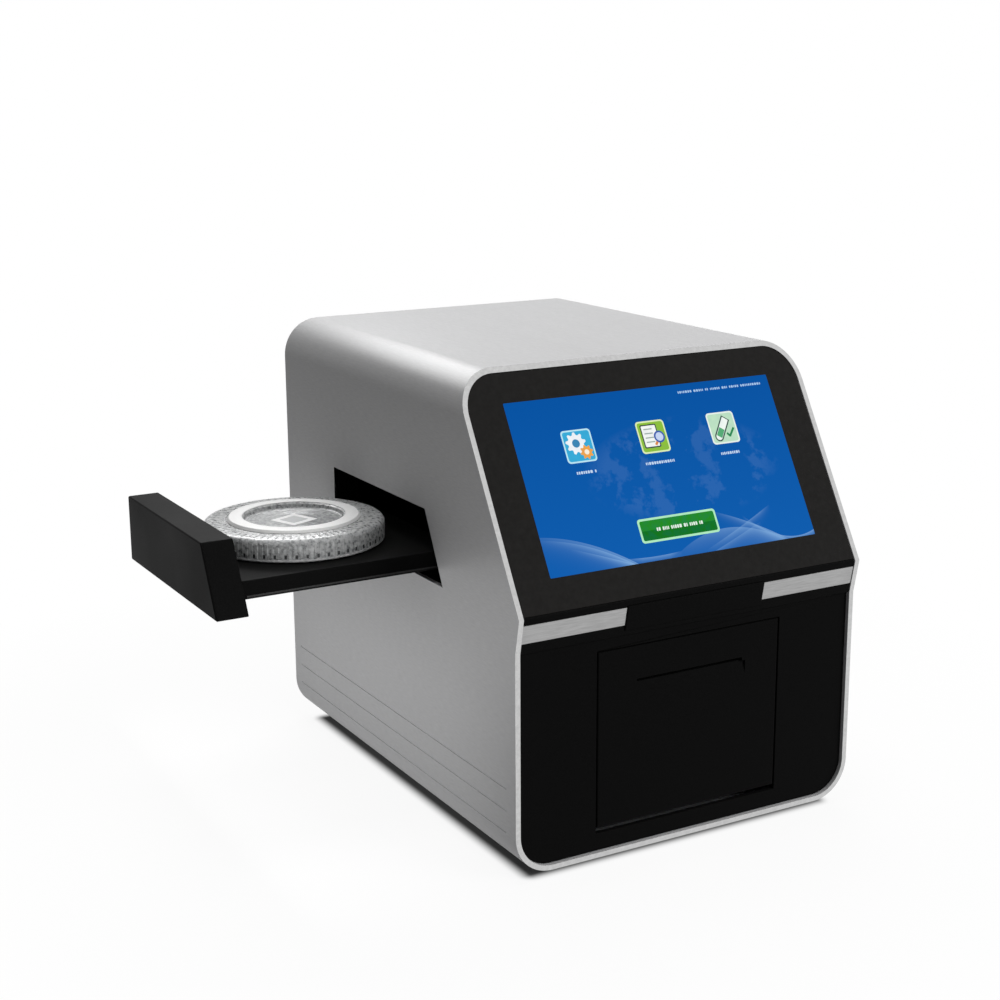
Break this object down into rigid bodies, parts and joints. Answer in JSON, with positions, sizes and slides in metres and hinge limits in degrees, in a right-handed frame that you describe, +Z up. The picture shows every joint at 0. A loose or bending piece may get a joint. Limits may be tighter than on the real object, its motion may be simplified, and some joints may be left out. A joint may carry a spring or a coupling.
{
  "type": "dry chemistry analyzer",
  "caption": "Bench-top dry chemistry analyzer: wrap-around aluminium case, sloping touch screen, side drawer with a clear reagent disc, receipt printer door.",
  "frame": {"origin": "centre of the case's flat underside; the feet reach 4 mm below it", "axes": "+Z up, -Y towards the user and the screen, the reagent drawer comes out along -X; drawn with the drawer open"},
  "size_m": [0.313, 0.2628, 0.236],
  "materials": {
    "anodised_aluminium": "fine bead-blasted satin",
    "black_abs": "fine moulded satin",
    "printed_glass": "gloss",
    "display_panel": "gloss",
    "silver_trim": "brushed",
    "zinc_steel": "plated",
    "turned_steel": "ground",
    "screw_steel": "black zinc",
    "cast_aluminium": "machined",
    "painted_steel": "fine texture powder coat",
    "circuit_board": "solder mask",
    "brass": "turned",
    "motor_steel": "drawn",
    "acetal": "moulded",
    "clear_disc": "clear moulded",
    "white_label": "matt",
    "card_core": "plain",
    "black_nylon": "moulded",
    "rubber": "matt",
    "ceramic_head": "ground"
  },
  "bodies": {
    "case": {"base_plate": "zinc_steel", "board_standoffs": "brass", "bridge_posts": "zinc_steel", "chin_plate": "black_abs", "chin_strip_left": "silver_trim", "chin_strip_right": "silver_trim", "deck_posts": "zinc_steel", "detector_block": "cast_aluminium", "display_board": "circuit_board", "display_bracket": "zinc_steel", "display_module": "display_panel", "door_hinge_pins": "turned_steel", "drawer_rail_front": "zinc_steel", "drawer_rail_rear": "zinc_steel", "drive_deck": "zinc_steel", "drive_motor": "motor_steel", "fan_frame": "black_nylon", "feet": "rubber", "foot_screws": "screw_steel", "front_frame": "black_abs", "front_glass": "printed_glass", "head_heatsink": "cast_aluminium", "heater_plate": "cast_aluminium", "inlet_pins": "brass", "inlet_screws": "screw_steel", "lamp_housing": "cast_aluminium", "lan_socket": "zinc_steel", "light_guide": "clear_disc", "mainboard": "circuit_board", "optics_bridge": "zinc_steel", "paper_spindle": "zinc_steel", "port_liner": "black_abs", "power_inlet": "black_nylon", "power_supply": "zinc_steel", "print_head": "ceramic_head", "printer_bay": "black_abs", "rear_corner_blocks": "cast_aluminium", "rear_panel": "painted_steel", "rear_screws": "screw_steel", "switch_housing": "black_nylon", "usb_sockets": "zinc_steel", "wrap_shell": "anodised_aluminium"},
    "tray": {"drawer_front": "black_abs", "drawer_slab": "black_abs", "drawer_rack": "acetal", "spindle_motor": "motor_steel"},
    "disc": {"disc_hub": "acetal", "disc_base": "clear_disc", "disc_cover": "clear_disc", "disc_label_ring": "white_label"},
    "pinion": {"drive_pinion": "acetal", "pinion_shaft": "turned_steel"},
    "door": {"printer_door": "black_abs"},
    "platen": {"platen_roller": "rubber", "platen_shaft": "turned_steel"},
    "roll": {"paper_roll": "white_label", "roll_core": "card_core"},
    "rocker": {"power_rocker": "black_nylon"},
    "fan": {"fan_rotor": "black_nylon"}
  },
  "joints": [
    {"name": "drawer_slide", "type": "slide", "parent": "case", "child": "tray", "axis": [1, 0, 0], "range_m": [0, 0.115]},
    {"name": "pinion_spin", "type": "hinge", "parent": "case", "child": "pinion", "pos_m": [-0.064, 0.0474, 0.127], "axis": [0, 0, 1], "range_deg": [-776, 0]},
    {"name": "disc_spin", "type": "hinge", "parent": "tray", "child": "disc", "pos_m": [-0.1483, 0.0073, 0.141], "axis": [0, 0, 1], "continuous": true},
    {"name": "door_hinge", "type": "hinge", "parent": "case", "child": "door", "pos_m": [0, -0.1201, 0.0184], "axis": [1, 0, 0], "range_deg": [0, 85]},
    {"name": "platen_spin", "type": "hinge", "parent": "door", "child": "platen", "pos_m": [0, -0.1148, 0.078], "axis": [1, 0, 0], "continuous": true},
    {"name": "roll_spin", "type": "hinge", "parent": "case", "child": "roll", "pos_m": [0, -0.09388, 0.045], "axis": [1, 0, 0], "continuous": true},
    {"name": "rocker_tilt", "type": "hinge", "parent": "case", "child": "rocker", "pos_m": [0.062, 0.1264, 0.07], "axis": [0, 0, 1], "range_deg": [-16, 0]},
    {"name": "fan_spin", "type": "hinge", "parent": "case", "child": "fan", "pos_m": [-0.038, 0.118, 0.168], "axis": [0, 1, 0], "continuous": true}
  ],
  "couplings": [
    {"joint": "pinion_spin", "follows": "drawer_slide", "rad_per_m": -117.65},
    {"joint": "platen_spin", "follows": "roll_spin", "ratio": 4}
  ]
}
